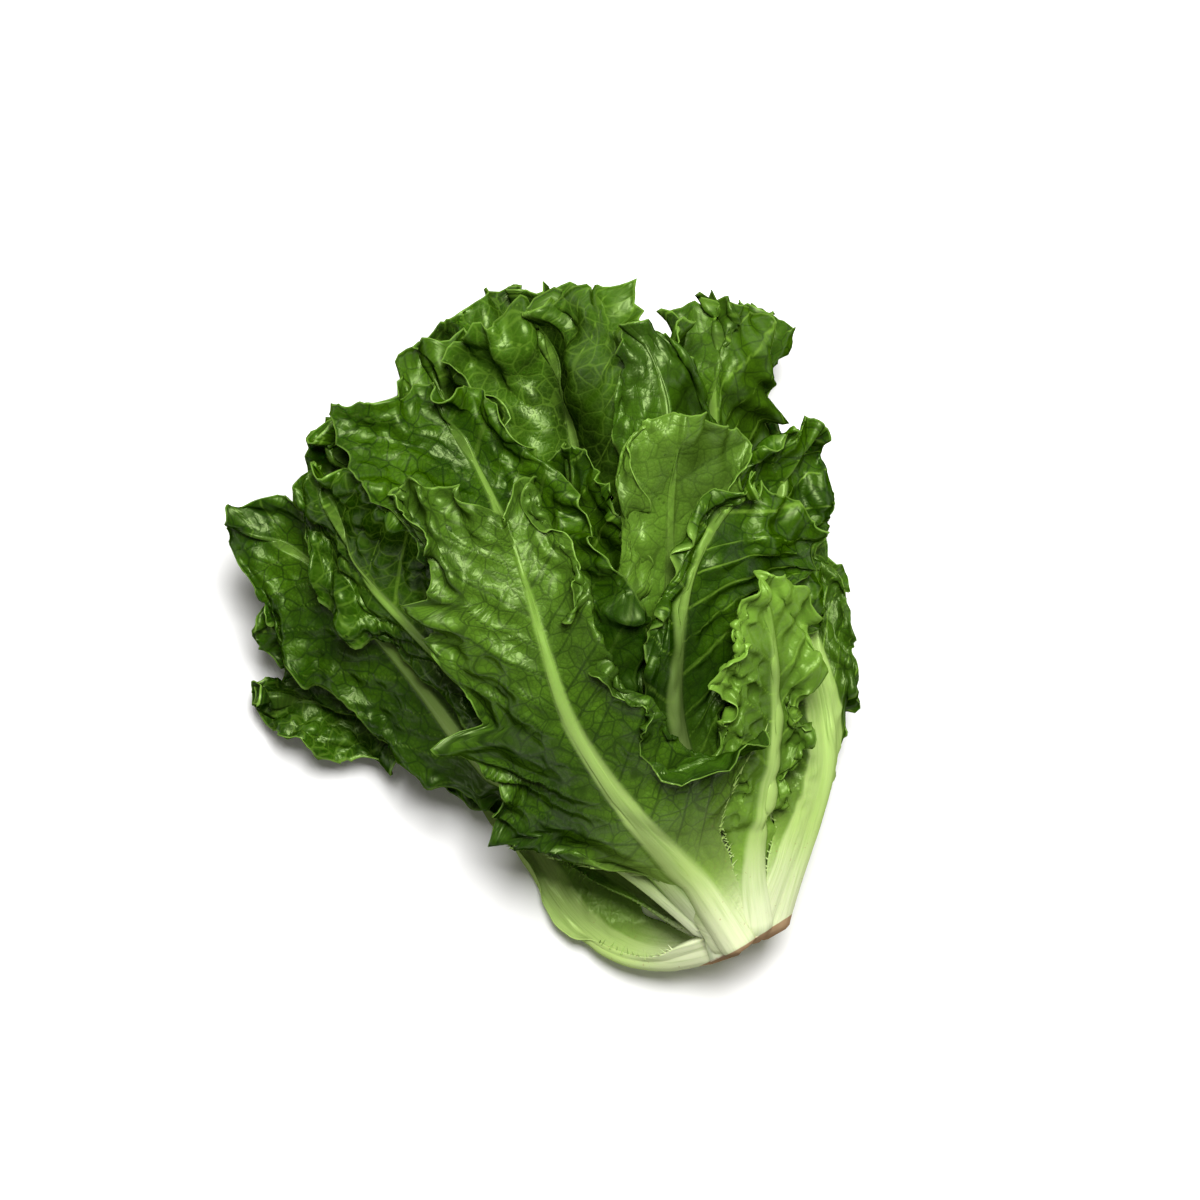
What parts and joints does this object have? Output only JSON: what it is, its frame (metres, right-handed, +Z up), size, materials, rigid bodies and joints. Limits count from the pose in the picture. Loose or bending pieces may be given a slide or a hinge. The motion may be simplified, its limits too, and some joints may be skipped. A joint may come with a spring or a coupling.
{
  "type": "romaine lettuce head",
  "caption": "Loose head of romaine lettuce lying on its side: cut stem, pale midribs and large waved green leaves in layers round a small heart.",
  "frame": {"origin": "on the surface that the head lies on, under the middle of its bounding box", "axes": "+Y from the cut stem to the leaf tips, +Z up from the surface, +X across the head"},
  "size_m": [0.262, 0.2856, 0.148],
  "materials": {
    "leaf": "semi-gloss leaf, dark green with paler veins and a pale midrib",
    "heart": "soft sheen, young yellow-green leaf",
    "stem": "matt pale flesh, browned at the cut"
  },
  "bodies": {
    "root": {"heart": "heart", "leaf_back": "leaf", "leaf_crown_back": "leaf", "leaf_crown_front": "leaf", "leaf_crown_left": "leaf", "leaf_crown_right": "leaf", "leaf_far_right": "leaf", "leaf_front": "leaf", "leaf_inner": "leaf", "leaf_left_floor": "leaf", "leaf_left_front": "leaf", "leaf_left_rib": "leaf", "leaf_left_tip": "leaf", "leaf_low_left": "leaf", "leaf_low_right": "leaf", "leaf_mid": "leaf", "leaf_pale_tip": "leaf", "leaf_right_edge": "leaf", "leaf_right_floor": "leaf", "leaf_right_front": "leaf", "leaf_right_tip": "leaf", "leaf_rolled": "leaf", "leaf_second": "leaf", "leaf_under": "leaf", "leaf_under_left": "leaf", "leaf_under_right": "leaf", "stem": "stem"}
  },
  "joints": []
}
